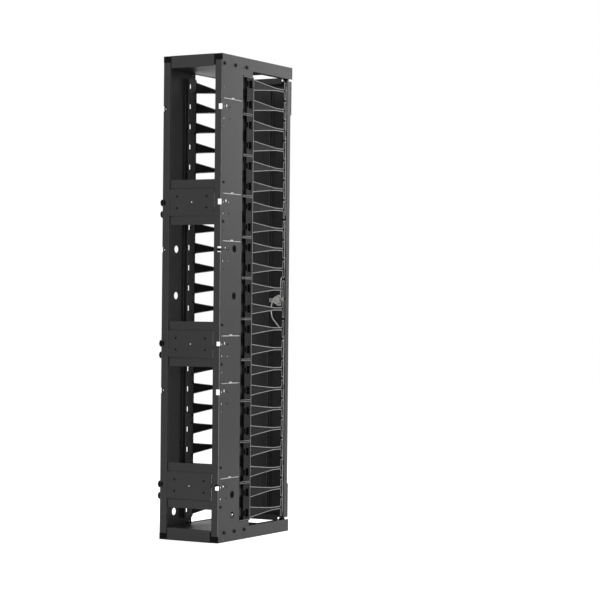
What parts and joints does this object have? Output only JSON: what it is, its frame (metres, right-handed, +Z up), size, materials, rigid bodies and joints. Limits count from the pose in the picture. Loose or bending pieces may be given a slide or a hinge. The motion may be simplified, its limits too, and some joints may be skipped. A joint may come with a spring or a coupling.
{
  "type": "vertical cable manager",
  "caption": "Tall vertical cable manager for equipment racks, with channel side panels, slotted finger rails, rear cross panels and a hinged front door with a rod latch.",
  "frame": {"origin": "middle of the footprint on the floor", "axes": "+Z up, front door towards -Y, rear towards +Y, +X to the right seen from the front"},
  "size_m": [0.313, 0.6073, 2.09],
  "materials": {
    "black_powder_coat": "semi-gloss fine texture",
    "finger_plastic": "satin moulded",
    "black_plastic": "satin",
    "black_fastener": "black oxide",
    "natural_nylon": "satin",
    "zinc_steel": "zinc plated",
    "zinc_cast": "cast zinc",
    "handle_black": "semi-gloss"
  },
  "bodies": {
    "frame": {"bottom_pan": "black_powder_coat", "top_pan": "black_powder_coat", "side_panel_left": "black_powder_coat", "side_panel_right": "black_powder_coat", "corner_caps_bottom": "black_plastic", "corner_caps_top": "black_plastic", "corner_cap_screws": "zinc_steel", "marker_clips": "natural_nylon", "side_panel_bolts": "black_fastener", "cross_panel_upper": "black_powder_coat", "cross_panel_middle": "black_powder_coat", "cross_panel_lower": "black_powder_coat", "cross_panel_bolts": "black_fastener", "baying_knobs": "black_plastic", "finger_module_left_1": "finger_plastic", "finger_module_left_2": "finger_plastic", "finger_module_left_3": "finger_plastic", "finger_module_left_4": "finger_plastic", "finger_module_left_5": "finger_plastic", "finger_module_left_6": "finger_plastic", "finger_module_left_7": "finger_plastic", "finger_module_left_8": "finger_plastic", "finger_module_left_9": "finger_plastic", "finger_module_left_10": "finger_plastic", "finger_module_left_11": "finger_plastic", "finger_module_right_1": "finger_plastic", "finger_module_right_2": "finger_plastic", "finger_module_right_3": "finger_plastic", "finger_module_right_4": "finger_plastic", "finger_module_right_5": "finger_plastic", "finger_module_right_6": "finger_plastic", "finger_module_right_7": "finger_plastic", "finger_module_right_8": "finger_plastic", "finger_module_right_9": "finger_plastic", "finger_module_right_10": "finger_plastic", "finger_module_right_11": "finger_plastic", "module_screws_left": "black_fastener", "module_screws_right": "black_fastener", "hinge_pin_top": "zinc_steel", "hinge_pin_bottom": "zinc_steel", "latch_strike_top": "black_plastic", "latch_strike_bottom": "black_plastic"},
    "door": {"door_panel": "black_powder_coat", "door_stiffener": "black_powder_coat", "door_end_top": "black_powder_coat", "door_end_bottom": "black_powder_coat", "hinge_bushes": "black_plastic", "rod_end_guides": "black_plastic", "rod_guides": "black_plastic", "latch_housing": "zinc_cast", "handle_escutcheon": "handle_black", "escutcheon_screws": "black_fastener"},
    "latch_handle": {"door_handle": "handle_black", "handle_spindle": "zinc_steel", "latch_cam": "zinc_cast", "cam_nut": "zinc_steel"},
    "upper_rod": {"upper_rod": "zinc_steel"},
    "lower_rod": {"lower_rod": "zinc_steel"}
  },
  "joints": [
    {"name": "door_hinge", "type": "hinge", "parent": "frame", "child": "door", "pos_m": [0.137, -0.264, 1.045], "axis": [0, 0, 1], "range_deg": [0, 110]},
    {"name": "handle_turn", "type": "hinge", "parent": "door", "child": "latch_handle", "pos_m": [-0.098, -0.29, 1.04], "axis": [0, -1, 0], "range_deg": [0, 40]},
    {"name": "upper_rod_slide", "type": "slide", "parent": "door", "child": "upper_rod", "axis": [0, 0, -1], "range_m": [0, 0.0177]},
    {"name": "lower_rod_slide", "type": "slide", "parent": "door", "child": "lower_rod", "axis": [0, 0, 1], "range_m": [0, 0.0177]}
  ],
  "couplings": [
    {"joint": "upper_rod_slide", "follows": "handle_turn", "m_per_rad": 0.02524},
    {"joint": "lower_rod_slide", "follows": "handle_turn", "m_per_rad": 0.02524}
  ]
}
